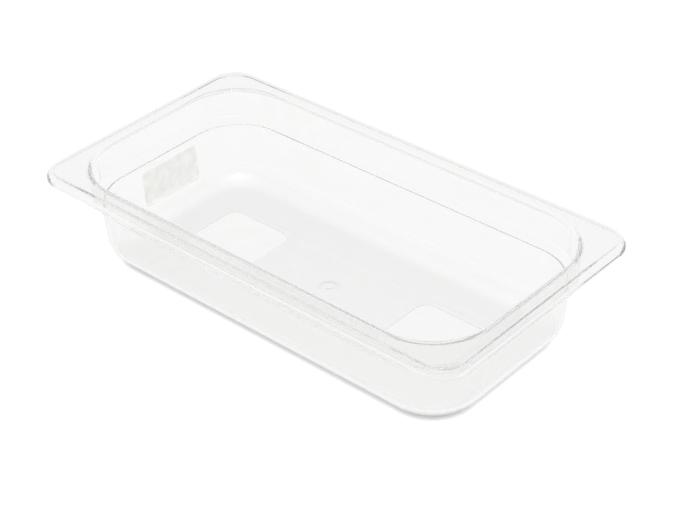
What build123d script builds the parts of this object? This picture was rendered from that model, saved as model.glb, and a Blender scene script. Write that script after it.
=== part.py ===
# A third-size food pan, 65 mm deep, moulded in one piece in clear polycarbonate, with an
# adhesive label on the outside of one end wall. Millimetres, +Z up, X along the pan, and the
# origin on the resting plane under the middle of the pan.
import os
from math import atan2, cos, degrees, hypot, radians, tan

from build123d import *

os.makedirs("parts", exist_ok=True)

# ---- rim: a flat top with a lip that slopes outwards and down -------------------------------
RIM_LENGTH = 325.0        # outside the rim, along X
RIM_WIDTH = 176.0         # outside the rim, along Y
HEIGHT = 65.0             # resting plane to the flat top of the rim
RIM_CORNER = 20.0         # corner radius of the rim's outer edge
RIM_REACH = 14.3          # outer edge of the rim to the opening
RIM_THICKNESS = 2.8       # the flat top
LIP_RUN = 4.5             # width of the sloping lip, seen from above
LIP_FALL = 3.5            # drop of the sloping lip
LIP_FACE = 3.2            # height of the lip's outer face
LIP_THICKNESS = 2.4       # thickness of the lip
LIP_BEND = 2.0            # rounding between the flat top and the lip
LIP_TURN = 2.5            # rounding between the lip's slope and its outer face
LIP_ROUND = 1.4           # rounding of the lip's outer lower edge
LIP_HEEL = 0.4            # rounding of the lip's inner lower edge
HOLLOW_TURN = 1.4         # hollow bend inside the lip's turn
HOLLOW_BEND = 1.0         # hollow bend between the slope and the underside of the top

# ---- walls, stacking ledge and floor --------------------------------------------------------
BASIN_CORNER = 39.5       # corner radius of the opening
WALL = 2.8                # side walls, measured level
FLOOR = 2.8               # floor
UPPER_DRAFT = 3.2         # lean of the wall above the ledge, degrees
LOWER_DRAFT = 4.0         # lean of the wall below the ledge, degrees
LEDGE_HEIGHT = 41.0       # inner edge of the ledge, above the resting plane
LEDGE_RISE = 5.5          # height of the ledge's slope
LEDGE_WIDTH = 4.6         # width of the ledge, seen from above
LEDGE_STEP = 1.0          # level strip along the ledge's inner edge
SHOULDER_DROP = 2.0       # the outer shoulder sits this far below the ledge
MOUTH_ROUND = 2.2         # rounding of the opening's edge
LEDGE_BEND = 3.0          # hollow bend at the top of the ledge
LEDGE_EDGE = 0.4          # edges of the level strip, nearly sharp
SHOULDER_ROUND = 3.0      # outer bends of the shoulder
UNDER_RIM_ROUND = 1.6     # hollow bend where the outer wall meets the rim
FLOOR_ROUND = 14.0        # hollow bend between floor and wall
BASE_ROUND = 17.0         # outer bend between wall and base

# ---- marks of the mould on the underside ----------------------------------------------------
PAD_LENGTH = 51.0         # two polished pads, let into the frosted base
PAD_WIDTH = 46.0
PAD_CORNER = 8.0
PAD_DEPTH = 0.25
PAD_PITCH = 160.0         # between the middles of the pads
PAD_SHIFT = 3.0           # middles of the pads off the middle of the base, along Y
GATE_DISH = 12.0          # dish around the gate mark, across
GATE_DISH_DEPTH = 0.6
GATE_STUB = 3.0           # stub that the gate leaves, across
GATE_STUB_HEIGHT = 0.4

# ---- label ----------------------------------------------------------------------------------
LABEL_WIDTH = 48.0        # along the end wall
LABEL_LOW = 9.5           # lowest edge, above the resting plane
LABEL_TALL = 25.0         # lowest edge to highest edge
LABEL_THICKNESS = 0.15
LABEL_CORNER = 3.0
LABEL_SHIFT = 6.5         # middle of the label off the middle of the end wall, along Y
GLUE = 0.05               # layer of adhesive between the wall and the label

NEAR = 0.01               # an edge or face this close to a height lies at it


def lean(angle):
    """Level run of a drafted wall for each millimetre of its height."""
    return tan(radians(angle))


def stage(low, high, inset, corner_axis, angle=0, mode=Mode.ADD):
    """One drafted stage of the pan, a rounded rectangle at its low end, widening upwards.

    inset is the level distance in from the rim's outer edge, and corner_axis the inset of
    the upright axis that the corner arc turns about.
    """
    with BuildSketch(Plane.XY.offset(low)) as outline:
        RectangleRounded(RIM_LENGTH - 2 * inset, RIM_WIDTH - 2 * inset, corner_axis - inset)
    extrude(outline.sketch, amount=high - low, taper=-angle, mode=mode)


def edges_at(part, height):
    """The edges of a part that lie level at one height."""
    return part.edges().filter_by_position(Axis.Z, height - NEAR, height + NEAR)


def edges_round_hole(part, height):
    """The edges round the large hole in the level face at one height."""
    level = part.faces().filter_by(Axis.Z)
    face = level.filter_by_position(Axis.Z, height - NEAR, height + NEAR)[0]
    return face.inner_wires()[0].edges()


# The inside, from the opening down. All the basin's corner arcs turn about the same four axes.
basin_axis = RIM_REACH + BASIN_CORNER
ledge_top = LEDGE_HEIGHT + LEDGE_RISE
ledge_top_inset = RIM_REACH + (HEIGHT - ledge_top) * lean(UPPER_DRAFT)
ledge_inset = ledge_top_inset + LEDGE_WIDTH
floor_inset = ledge_inset + (LEDGE_HEIGHT - FLOOR) * lean(LOWER_DRAFT)
ledge_slope = degrees(atan2(LEDGE_WIDTH - LEDGE_STEP, LEDGE_RISE))
shoulder_slope = degrees(atan2(LEDGE_WIDTH, LEDGE_RISE))

with BuildPart() as inside:
    stage(FLOOR, LEDGE_HEIGHT, floor_inset, basin_axis, LOWER_DRAFT)
    fillet(edges_at(inside, FLOOR), FLOOR_ROUND)
    stage(LEDGE_HEIGHT, ledge_top, ledge_inset - LEDGE_STEP, basin_axis, ledge_slope)
    stage(ledge_top, HEIGHT, ledge_top_inset, basin_axis, UPPER_DRAFT)
    fillet(edges_at(inside, LEDGE_HEIGHT), LEDGE_EDGE)
    fillet(edges_at(inside, ledge_top), LEDGE_BEND)

# The outside of the basin, from the base up to the rim, one wall thickness away.
rim_under = HEIGHT - RIM_THICKNESS
shoulder_low = LEDGE_HEIGHT - SHOULDER_DROP
shoulder_high = ledge_top - SHOULDER_DROP
shoulder_low_inset = ledge_inset + SHOULDER_DROP * lean(LOWER_DRAFT) - WALL
shoulder_high_inset = shoulder_low_inset - LEDGE_WIDTH
base_inset = shoulder_low_inset + shoulder_low * lean(LOWER_DRAFT)

with BuildPart() as outside:
    stage(0, shoulder_low, base_inset, basin_axis, LOWER_DRAFT)
    fillet(edges_at(outside, 0), BASE_ROUND)
    stage(shoulder_low, shoulder_high, shoulder_low_inset, basin_axis, shoulder_slope)
    stage(shoulder_high, rim_under, shoulder_high_inset, basin_axis, UPPER_DRAFT)
    fillet(edges_at(outside, shoulder_low) + edges_at(outside, shoulder_high), SHOULDER_ROUND)

# The pan: the rim first, hollow under its lip, then the basin, then the space inside it.
lip_top = HEIGHT - LIP_FALL
lip_bottom = lip_top - LIP_FACE
lip_slope = degrees(atan2(LIP_RUN, LIP_FALL))
lip_hollow = lip_top - LIP_THICKNESS * (hypot(LIP_RUN, LIP_FALL) - LIP_FALL) / LIP_RUN

with BuildPart() as pan:
    stage(lip_top, HEIGHT, 0, RIM_CORNER, -lip_slope)
    fillet(edges_at(pan, HEIGHT), LIP_BEND)
    stage(lip_bottom, lip_top, 0, RIM_CORNER)
    fillet(edges_at(pan, lip_top), LIP_TURN)
    fillet(edges_at(pan, lip_bottom), LIP_ROUND)
    stage(lip_bottom, lip_hollow, LIP_THICKNESS, RIM_CORNER, mode=Mode.SUBTRACT)
    stage(lip_hollow, rim_under, LIP_THICKNESS, RIM_CORNER, -lip_slope, Mode.SUBTRACT)
    fillet(edges_at(pan, rim_under), HOLLOW_BEND)
    fillet(edges_at(pan, lip_hollow), HOLLOW_TURN)
    fillet(edges_round_hole(pan, lip_bottom), LIP_HEEL)
    add(outside.part)
    fillet(edges_round_hole(pan, rim_under), UNDER_RIM_ROUND)
    add(inside.part, mode=Mode.SUBTRACT)
    fillet(edges_round_hole(pan, HEIGHT), MOUTH_ROUND)

    # Marks of the mould: two polished pads, and the dish and stub of the gate between them.
    with BuildSketch(Plane.XY):
        with Locations((-PAD_PITCH / 2, PAD_SHIFT), (PAD_PITCH / 2, PAD_SHIFT)):
            RectangleRounded(PAD_LENGTH, PAD_WIDTH, PAD_CORNER)
    extrude(amount=PAD_DEPTH, mode=Mode.SUBTRACT)
    with BuildSketch(Plane.XY):
        Circle(GATE_DISH / 2)
    extrude(amount=GATE_DISH_DEPTH, mode=Mode.SUBTRACT)
    with BuildSketch(Plane.XY.offset(GATE_DISH_DEPTH)):
        Circle(GATE_STUB / 2)
    extrude(amount=-GATE_STUB_HEIGHT)

# The label: its outline across the end wall, kept where it meets a thin strip that follows
# the outside of the wall and base, with a layer of adhesive between.
strip_gap = GLUE + LABEL_THICKNESS / 2
strip_foot = RIM_LENGTH / 2 - base_inset + strip_gap / cos(radians(LOWER_DRAFT))
strip_lean = lean(LOWER_DRAFT)

with BuildPart() as end_label:
    with BuildSketch(Plane.YZ.offset(-RIM_LENGTH / 2)):
        with Locations((LABEL_SHIFT, LABEL_LOW + LABEL_TALL / 2)):
            RectangleRounded(LABEL_WIDTH, LABEL_TALL, LABEL_CORNER)
    extrude(amount=RIM_LENGTH / 2)
    with BuildSketch(Plane.XZ) as strip:
        with BuildLine():
            FilletPolyline((-strip_foot - HEIGHT * strip_lean, HEIGHT),
                           (-strip_foot + strip_gap * strip_lean, -strip_gap),
                           (0, -strip_gap),
                           radius=BASE_ROUND + strip_gap)
        trace(line_width=LABEL_THICKNESS)
    extrude(amount=RIM_WIDTH / 2, both=True, mode=Mode.INTERSECT)

pan.part.label = "pan"
end_label.part.label = "end_label"
export_step(pan.part, "parts/pan.step")
export_step(end_label.part, "parts/end_label.step")
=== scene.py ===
from math import atan2, cos, hypot, pi, radians, sin, tan

import bmesh
import bpy
from mathutils import Matrix, Vector


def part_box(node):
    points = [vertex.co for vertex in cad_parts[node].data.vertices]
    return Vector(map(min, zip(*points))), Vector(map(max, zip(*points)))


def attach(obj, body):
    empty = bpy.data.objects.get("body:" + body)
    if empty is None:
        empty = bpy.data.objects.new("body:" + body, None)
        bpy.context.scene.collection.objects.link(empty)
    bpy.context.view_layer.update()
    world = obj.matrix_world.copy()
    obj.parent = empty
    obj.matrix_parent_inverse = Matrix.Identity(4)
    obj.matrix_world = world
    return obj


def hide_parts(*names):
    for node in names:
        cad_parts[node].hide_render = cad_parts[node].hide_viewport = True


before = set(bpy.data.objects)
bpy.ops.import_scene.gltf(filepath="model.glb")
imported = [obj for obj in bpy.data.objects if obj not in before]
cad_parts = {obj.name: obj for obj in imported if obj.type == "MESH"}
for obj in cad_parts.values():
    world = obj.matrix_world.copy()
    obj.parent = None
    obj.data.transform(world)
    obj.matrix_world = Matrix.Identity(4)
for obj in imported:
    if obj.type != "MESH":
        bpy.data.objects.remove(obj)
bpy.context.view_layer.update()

# ---- Pan ------------------------------------------------------------------------------------
# One injection moulding in clear polycarbonate: a flat rim with a sloping lip, a drafted wall
# with a stacking ledge part of the way up, and a floor polished inside and frosted underneath.
MM = 0.001
HALF_LENGTH, HALF_WIDTH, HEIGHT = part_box("pan")[1]
RIM_CORNER = 20.0 * MM
RIM_REACH = 14.3 * MM     # outer edge of the rim to the opening
RIM_THICKNESS = 2.8 * MM
LIP_RUN = 4.5 * MM
LIP_FALL = 3.5 * MM
LIP_FACE = 3.2 * MM
LIP_THICKNESS = 2.4 * MM
LIP_BEND = 2.0 * MM
LIP_TURN = 2.5 * MM
LIP_ROUND = 1.4 * MM
LIP_HEEL = 0.4 * MM
HOLLOW_TURN = 1.4 * MM
HOLLOW_BEND = 1.0 * MM
BASIN_CORNER = 39.5 * MM
WALL = 2.8 * MM
FLOOR = 2.8 * MM
UPPER_LEAN = tan(radians(3.2))
LOWER_LEAN = tan(radians(4.0))
LEDGE_HEIGHT = 41.0 * MM
LEDGE_RISE = 5.5 * MM
LEDGE_WIDTH = 4.6 * MM
LEDGE_STEP = 1.0 * MM
SHOULDER_DROP = 2.0 * MM
MOUTH_ROUND = 2.2 * MM
LEDGE_BEND = 3.0 * MM
LEDGE_EDGE = 0.4 * MM
SHOULDER_ROUND = 3.0 * MM
UNDER_RIM_ROUND = 1.6 * MM
FLOOR_ROUND = 14.0 * MM
BASE_ROUND = 17.0 * MM

rim_axis = RIM_CORNER     # insets of the upright axes that the corners turn about
basin_axis = RIM_REACH + BASIN_CORNER
ledge_top = LEDGE_HEIGHT + LEDGE_RISE
ledge_top_inset = RIM_REACH + (HEIGHT - ledge_top) * UPPER_LEAN
ledge_inset = ledge_top_inset + LEDGE_WIDTH
floor_inset = ledge_inset + (LEDGE_HEIGHT - FLOOR) * LOWER_LEAN
rim_under = HEIGHT - RIM_THICKNESS
shoulder_low = LEDGE_HEIGHT - SHOULDER_DROP
shoulder_high = ledge_top - SHOULDER_DROP
shoulder_low_inset = ledge_inset + SHOULDER_DROP * LOWER_LEAN - WALL
shoulder_high_inset = shoulder_low_inset - LEDGE_WIDTH
base_inset = shoulder_low_inset + shoulder_low * LOWER_LEAN
under_rim_inset = shoulder_high_inset - (rim_under - shoulder_high) * UPPER_LEAN
lip_top = HEIGHT - LIP_FALL
lip_bottom = lip_top - LIP_FACE
lip_hollow = lip_top - LIP_THICKNESS * (hypot(LIP_RUN, LIP_FALL) - LIP_FALL) / LIP_RUN
lip_hollow_inset = LIP_THICKNESS + (rim_under - lip_hollow) * LIP_RUN / LIP_FALL

# The corners of the pan's section, from the floor up over the rim and down to the base:
# inset from the rim's edge, height, rounding, and inset of the axis its corner turns about.
SECTION = [
    (floor_inset, FLOOR, FLOOR_ROUND, basin_axis),
    (ledge_inset, LEDGE_HEIGHT, LEDGE_EDGE, basin_axis),
    (ledge_inset - LEDGE_STEP, LEDGE_HEIGHT, LEDGE_EDGE, basin_axis),
    (ledge_top_inset, ledge_top, LEDGE_BEND, basin_axis),
    (RIM_REACH, HEIGHT, MOUTH_ROUND, basin_axis),
    (LIP_RUN, HEIGHT, LIP_BEND, rim_axis),
    (0, lip_top, LIP_TURN, rim_axis),
    (0, lip_bottom, LIP_ROUND, rim_axis),
    (LIP_THICKNESS, lip_bottom, LIP_HEEL, rim_axis),
    (LIP_THICKNESS, lip_hollow, HOLLOW_TURN, rim_axis),
    (lip_hollow_inset, rim_under, HOLLOW_BEND, rim_axis),
    (under_rim_inset, rim_under, UNDER_RIM_ROUND, basin_axis),
    (shoulder_high_inset, shoulder_high, SHOULDER_ROUND, basin_axis),
    (shoulder_low_inset, shoulder_low, SHOULDER_ROUND, basin_axis),
    (base_inset, 0, BASE_ROUND, basin_axis),
]
MIDDLE = basin_axis       # an inset well inside the floor, where the section starts and ends
FEWEST_STEPS = 6          # round the smallest bend of the section
BEND_STEP = 1.0 * MM      # length of a step round the larger bends


def rounded_section(corners):
    """The section with each corner cut by its arc: (inset, height, axis, normal) of each ring.

    The path runs with the air on its left, so each normal is the path's direction turned left.
    """
    points = [Vector((-inset, height)) for inset, height, _, _ in corners]
    ends = [Vector((-MIDDLE, corners[0][1]))] + points + [Vector((-MIDDLE, corners[-1][1]))]
    rings = []
    for i, (_, _, radius, axis) in enumerate(corners):
        before = (ends[i + 1] - ends[i]).normalized()
        after = (ends[i + 2] - ends[i + 1]).normalized()
        turn = atan2(before.cross(after), before.dot(after))
        side = 1 if turn > 0 else -1
        start = ends[i + 1] - before * radius * tan(abs(turn) / 2)
        left = Vector((-before.y, before.x))
        centre = start + left * radius * side
        steps = max(FEWEST_STEPS, round(abs(turn) * radius / BEND_STEP))
        for k in range(steps + 1):
            normal = Matrix.Rotation(turn * k / steps, 2) @ left
            place = centre - normal * radius * side
            rings.append((-place.x, place.y, axis, normal))
    return rings


QUARTERS = [(1, 1), (-1, 1), (-1, -1), (1, -1)]      # the four corners of a plan, in turn
CORNER_STEPS = 40         # round each corner of the plan
SIDE_STEPS = 8            # along each side, between the corners


def plan_ring(inset, axis):
    """Points of one ring round the pan and the outward direction at each."""
    places, outward = [], []
    for quarter, (east, north) in enumerate(QUARTERS):
        centre = Vector((east * (HALF_LENGTH - axis), north * (HALF_WIDTH - axis)))
        for k in range(CORNER_STEPS + 1):
            angle = (quarter + k / CORNER_STEPS) * pi / 2
            away = Vector((cos(angle), sin(angle)))
            places.append(centre + away * (axis - inset))
            outward.append(away)
        east, north = QUARTERS[(quarter + 1) % 4]
        following = Vector((east * (HALF_LENGTH - axis), north * (HALF_WIDTH - axis)))
        last, target = places[-1], following + outward[-1] * (axis - inset)
        for k in range(1, SIDE_STEPS):
            places.append(last.lerp(target, k / SIDE_STEPS))
            outward.append(outward[-1])
    return places, outward


pan_mesh = bmesh.new()
smooth_normal = {}
loops = []
for inset, height, axis, slope in rounded_section(SECTION):
    places, outward = plan_ring(inset, axis)
    ring = [pan_mesh.verts.new((p.x, p.y, height)) for p in places]
    for vertex, away in zip(ring, outward):
        smooth_normal[vertex] = Vector((slope.x * away.x, slope.x * away.y, slope.y))
    loops.append(ring)

POLISHED, FROSTED = 0, 1  # the pan's two finishes
FROST_TOP = 6.5 * MM      # the frost runs this far up the bend round the base

for number, (lower, upper) in enumerate(zip(loops, loops[1:])):
    outside = number > len(loops) / 2      # the section's first half is the inside
    near_base = outside and max(lower[0].co.z, upper[0].co.z) < FROST_TOP
    for k in range(len(lower)):
        j = (k + 1) % len(lower)
        face = pan_mesh.faces.new((lower[k], lower[j], upper[j], upper[k]))
        face.material_index = FROSTED if near_base else POLISHED
pan_mesh.faces.new(loops[0])

# The underside: two polished pads let into the frosted base, and the gate's dish and stub.
PAD_LENGTH = 51.0 * MM
PAD_WIDTH = 46.0 * MM
PAD_CORNER = 8.0 * MM
PAD_CORNER_STEPS = 8
PAD_DEPTH = 0.25 * MM
PAD_PITCH = 160.0 * MM    # between the middles of the pads
PAD_SHIFT = 3.0 * MM      # middles of the pads off the middle of the base
DISH_RADIUS = 6.0 * MM
DISH_DEPTH = 0.6 * MM
DISH_STEPS = 40
STUB_RADIUS = 1.5 * MM
STUB_HEIGHT = 0.4 * MM
STUB_STEPS = 20


def pad_outline(middle):
    """Points round one pad."""
    outline = []
    for quarter, (east, north) in enumerate(QUARTERS):
        for k in range(PAD_CORNER_STEPS + 1):
            angle = (quarter + k / PAD_CORNER_STEPS) * pi / 2
            outline.append(
                (middle + east * (PAD_LENGTH / 2 - PAD_CORNER) + PAD_CORNER * cos(angle),
                 PAD_SHIFT + north * (PAD_WIDTH / 2 - PAD_CORNER) + PAD_CORNER * sin(angle)))
    return outline


def circle(radius, steps):
    """Points round a circle about the middle of the base."""
    return [(radius * cos(2 * pi * k / steps), radius * sin(2 * pi * k / steps))
            for k in range(steps)]


def wall_between(outline, first, second):
    """A band of faces between two heights on one outline, and its two rings."""
    below = [pan_mesh.verts.new((x, y, first)) for x, y in outline]
    above = [pan_mesh.verts.new((x, y, second)) for x, y in outline]
    for k in range(len(outline)):
        j = (k + 1) % len(outline)
        pan_mesh.faces.new((below[k], above[k], above[j], below[j]))
    return below, above


def frosted_between(*rings):
    """Fills the level space between rings with frosted faces."""
    edges = []
    for ring in rings:
        for pair in zip(ring, ring[1:] + ring[:1]):
            edges.append(pan_mesh.edges.get(pair) or pan_mesh.edges.new(pair))
    filled = bmesh.ops.triangle_fill(pan_mesh, use_beauty=True, edges=edges)
    for item in filled["geom"]:
        if isinstance(item, bmesh.types.BMFace):
            item.material_index = FROSTED


pad_mouths = []
for middle in (-PAD_PITCH / 2, PAD_PITCH / 2):
    mouth, roof = wall_between(pad_outline(middle), 0, PAD_DEPTH)
    pan_mesh.faces.new(roof)
    pad_mouths.append(mouth)
dish_mouth, dish_roof = wall_between(circle(DISH_RADIUS, DISH_STEPS), 0, DISH_DEPTH)
stub_foot, stub_root = wall_between(circle(STUB_RADIUS, STUB_STEPS), DISH_DEPTH - STUB_HEIGHT,
                                    DISH_DEPTH)
pan_mesh.faces.new(stub_foot)
frosted_between(dish_roof, stub_root)
frosted_between(loops[-1], dish_mouth, *pad_mouths)
bmesh.ops.recalc_face_normals(pan_mesh, faces=pan_mesh.faces)

# Bends are shaded by the section's own normals, and level faces and the pads' edges by theirs.
LEVEL = 0.9999            # upright part of a level face's normal
pan_mesh.verts.index_update()
normal_at = {vertex.index: normal for vertex, normal in smooth_normal.items()}
pan_data = bpy.data.meshes.new("food_pan")
pan_mesh.to_mesh(pan_data)
pan_mesh.free()
corner_normals = []
for face in pan_data.polygons:
    flat = abs(face.normal.z) > LEVEL or any(v not in normal_at for v in face.vertices)
    for v in face.vertices:
        corner_normals.append(tuple(face.normal if flat else normal_at[v]))
for face in pan_data.polygons:
    face.use_smooth = True
pan_data.normals_split_custom_set(corner_normals)
food_pan = bpy.data.objects.new("food_pan", pan_data)
bpy.context.scene.collection.objects.link(food_pan)


class Socket:
    """A shader value: sums and products on it add Math nodes, and node() adds any other node."""

    def __init__(self, tree, out=None):
        self.tree, self.out = tree, out

    def node(self, kind, settings=None, *values, out=0, **named):
        """Adds a node, with its settings first and then its socket values or links."""
        new = self.tree.nodes.new(kind)
        for key, value in (settings or {}).items():
            if key == "stops":
                while len(new.color_ramp.elements) < len(value):
                    new.color_ramp.elements.new(0.5)
                for stop, (position, grey) in zip(new.color_ramp.elements, value):
                    stop.position, stop.color = position, (grey, grey, grey, 1)
            else:
                setattr(new, key, value)
        for key, value in [*enumerate(values), *named.items()]:
            if isinstance(value, Socket):
                self.tree.links.new(value.out, new.inputs[key])
            else:
                new.inputs[key].default_value = value
        return Socket(self.tree, new.outputs[out]) if new.outputs else None

    def _math(self, operation, first, second):
        return self.node("ShaderNodeMath", {"operation": operation}, first, second)

    def __add__(self, other): return self._math("ADD", self, other)
    def __radd__(self, other): return self._math("ADD", other, self)
    def __rsub__(self, other): return self._math("SUBTRACT", other, self)
    def __mul__(self, other): return self._math("MULTIPLY", self, other)
    def __rmul__(self, other): return self._math("MULTIPLY", other, self)


def new_material(name):
    """An empty material, and its node tree to add nodes to."""
    material = bpy.data.materials.new(name)
    material.use_nodes = True
    material.node_tree.nodes.clear()
    return material, Socket(material.node_tree)


REFRACTION = 1.585        # of polycarbonate
BLUE_LOSS = 0.004         # clear polycarbonate is faintly warm
PAINTED_SCATTER_GLOW = 0.002              # a faint glow painted on every face, for the room light its faces would scatter; it adds up along a ray led in a wall


def polycarbonate(shader, tint, passed_to_lamps, **finish):
    """Plastic that bends what is seen, glows faintly with painted light, and passes a share of a
    lamp's light straight on.
    """
    plastic = shader.node("ShaderNodeBsdfPrincipled", None, **{
        "Base Color": (tint, tint, tint - BLUE_LOSS, 1), "IOR": REFRACTION,
        "Transmission Weight": 1.0, "Emission Color": (1, 1, 1, 1), "Emission Strength": PAINTED_SCATTER_GLOW},
        **finish)
    share = (passed_to_lamps, passed_to_lamps, passed_to_lamps, 1)
    straight_on = shader.node("ShaderNodeBsdfTransparent", None, share)
    lamp_ray = shader.node("ShaderNodeLightPath", out="Is Shadow Ray")
    surface = shader.node("ShaderNodeMixShader", None, lamp_ray, plastic, straight_on)
    shader.node("ShaderNodeOutputMaterial", None, surface)


# Polished steel leaves the walls clear, with a faint ripple where the plastic flowed and cooled.
clear, shader = new_material("clear_polycarbonate")
place = shader.node("ShaderNodeTexCoord", out="Object")
ripple = shader.node("ShaderNodeTexNoise", None, Vector=place, Scale=70.0, Detail=1.0)
polycarbonate(shader, tint=0.978, passed_to_lamps=0.96, Roughness=0.06, Normal=shader.node(
    "ShaderNodeBump", None, Strength=0.3, Distance=0.02 * MM, Height=ripple))

# Etched steel leaves a fine grain under the base.
frosted, shader = new_material("frosted_polycarbonate")
place = shader.node("ShaderNodeTexCoord", out="Object")
grain = shader.node("ShaderNodeTexNoise", None, Vector=place, Scale=1400.0, Detail=3.0)
polycarbonate(shader, tint=0.99, passed_to_lamps=0.94, Roughness=0.22 + 0.16 * grain,
              Normal=shader.node("ShaderNodeBump", None, Strength=0.35, Distance=0.03 * MM,
                                 Height=grain))

food_pan.data.materials.append(clear)
food_pan.data.materials.append(frosted)
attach(food_pan, "root")
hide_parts("pan")

# ---- Label ------------------------------------------------------------------------------------
# A blank adhesive label in matt paper, stuck on the outside of one end wall. The paper is thin
# and its adhesive has soaked in unevenly, so light comes through it in blotches.
paper, shader = new_material("label_paper")
place = shader.node("ShaderNodeTexCoord", out="Object")
blotch = shader.node("ShaderNodeTexNoise", None, Vector=place, Scale=160.0, Detail=4.0)
sheet = shader.node("ShaderNodeBsdfPrincipled", None, **{
    "Base Color": (0.88, 0.88, 0.80, 1), "Roughness": 0.8, "Alpha": 0.02 + 0.29 * blotch})
shader.node("ShaderNodeOutputMaterial", None, sheet)
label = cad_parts["end_label"]
label.data.materials.clear()
label.data.materials.append(paper)

# ---- Floor, light and camera ------------------------------------------------------------------
# A white sweep under a large soft box, with a small lamp for the glint in the far corner. It is
# seen from above one long side and the end without the label.
SWEEP_HALF = 6.0
SWEEP_DROP = 0.2 * MM     # the sweep lies this far under the base
sweep_data = bpy.data.meshes.new("sweep")
sweep_data.from_pydata([(east * SWEEP_HALF, north * SWEEP_HALF, -SWEEP_DROP)
                        for east, north in QUARTERS], [], [(0, 1, 2, 3)])
sweep = bpy.data.objects.new("sweep", sweep_data)
bpy.context.scene.collection.objects.link(sweep)

# The sweep is part matt paint and part glow: how large a part and how bright depends on whether
# it is seen straight, as a reflection, or through the pan, where it is all glow. Seen straight or
# as a reflection, the glow is dimmed close under the base by ambient occlusion: a painted shadow.
STRAIGHT_SHARE, STRAIGHT_GLOW = 0.62, 1.12
MIRRORED_SHARE, MIRRORED_GLOW = 0.85, 0.88
THROUGH_GLOW = 0.97
CONTACT_REACH = 3.5 * MM  # the painted shadow close under the base ends this far off
white, shader = new_material("white_sweep")
through = shader.node("ShaderNodeLightPath", out="Is Transmission Ray")
mirrored = shader.node("ShaderNodeLightPath", out="Is Glossy Ray") * (1 - through)
straight = shader.node("ShaderNodeLightPath", out="Is Camera Ray")
open_air = shader.node("ShaderNodeAmbientOcclusion", {"samples": 8}, Distance=CONTACT_REACH,
                       out="AO")
brightness = ((STRAIGHT_GLOW * straight + MIRRORED_GLOW * mirrored) * open_air
              + THROUGH_GLOW * through)
matt = shader.node("ShaderNodeBsdfDiffuse", None, (0.85, 0.85, 0.85, 1))
glow = shader.node("ShaderNodeEmission", None, brightness)
both = shader.node("ShaderNodeMixShader", None,
                   STRAIGHT_SHARE * straight + MIRRORED_SHARE * mirrored + through, matt, glow)
shader.node("ShaderNodeOutputMaterial", None, both)
sweep_data.materials.append(white)

# The room: pale walls, a little darker higher up, and a pale ceiling.
SKY = [(0.25, 0.92), (0.45, 0.80), (0.75, 0.72), (0.95, 0.95)]      # height, brightness
world = bpy.data.worlds.new("studio")
bpy.context.scene.world = world
world.use_nodes = True
world.node_tree.nodes.clear()
shader = Socket(world.node_tree)
towards = shader.node("ShaderNodeTexCoord", out="Generated")
upward = shader.node("ShaderNodeSeparateXYZ", None, towards, out="Z")
room = shader.node("ShaderNodeValToRGB", {"stops": SKY}, upward)
shader.node("ShaderNodeOutputWorld", None, shader.node("ShaderNodeBackground", None, room, 1.0))


def soft_box(name, place, aim, size, watts):
    """A rectangular lamp, turned towards a point."""
    lamp = bpy.data.lights.new(name, "AREA")
    lamp.shape = "RECTANGLE"
    lamp.size, lamp.size_y = size
    lamp.energy = watts
    holder = bpy.data.objects.new(name, lamp)
    holder.location = place
    holder.rotation_euler = (Vector(aim) - Vector(place)).to_track_quat("-Z", "Y").to_euler()
    bpy.context.scene.collection.objects.link(holder)
    return holder


overhead = soft_box("overhead", (-0.1, 0.1, 1.5), (0, 0, 0), (1.2, 1.2), 14.0)
overhead.visible_glossy = False
overhead.visible_transmission = False
soft_box("corner_glint", (0.35, -0.38, 1.41), (0, 0, 0.03), (0.40, 0.04), 1.7)

CAMERA_AZIMUTH = radians(42.33)
CAMERA_ELEVATION = radians(34.60)
CAMERA_ROLL = radians(-1.60)
CAMERA_DISTANCE = 1.06359
CAMERA_TARGET = Vector((0.00736, 0.00093, 0.030))
SENSOR = 36.0             # mm across
LENS = 94.288             # mm
camera_data = bpy.data.cameras.new("camera")
camera_data.sensor_width = SENSOR
camera_data.lens = LENS
camera = bpy.data.objects.new("camera", camera_data)
back = Vector((sin(CAMERA_AZIMUTH) * cos(CAMERA_ELEVATION),
               -cos(CAMERA_AZIMUTH) * cos(CAMERA_ELEVATION), sin(CAMERA_ELEVATION)))
camera.location = CAMERA_TARGET + back * CAMERA_DISTANCE
level = (-back).to_track_quat("-Z", "Y")
camera.rotation_euler = (level.to_matrix() @ Matrix.Rotation(CAMERA_ROLL, 3, "Z")).to_euler()
bpy.context.scene.collection.objects.link(camera)
bpy.context.scene.camera = camera
bpy.context.scene.view_settings.view_transform = "Standard"

# Light that enters the top of a clear wall is led down inside it, off its two faces in turn.
WALL_BOUNCES = 48
cycles = bpy.context.scene.cycles
cycles.max_bounces = WALL_BOUNCES
cycles.glossy_bounces = WALL_BOUNCES
cycles.transmission_bounces = WALL_BOUNCES
